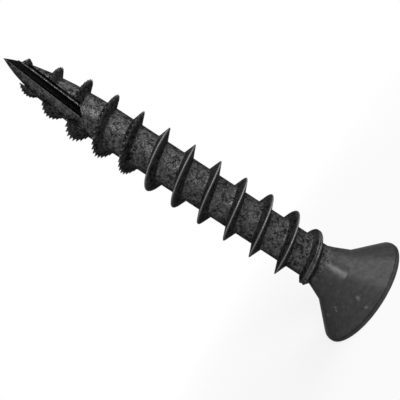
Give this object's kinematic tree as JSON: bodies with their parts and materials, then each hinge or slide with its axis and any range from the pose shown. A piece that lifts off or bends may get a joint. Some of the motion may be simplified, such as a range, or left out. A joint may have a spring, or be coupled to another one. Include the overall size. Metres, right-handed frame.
{
  "type": "multi-purpose screw",
  "caption": "Black countersunk wood screw with a six-lobe drive, a serrated right-hand thread and a slotted cut point.",
  "frame": {"origin": "centre of the head's flat face", "axes": "+Z along the screw's axis to the point; -Y out of the slot in the point"},
  "size_m": [0.0106, 0.0106, 0.04],
  "materials": {
    "screw": "black phosphate under thin oil, satin"
  },
  "bodies": {
    "root": {"screw": "screw"}
  },
  "joints": []
}
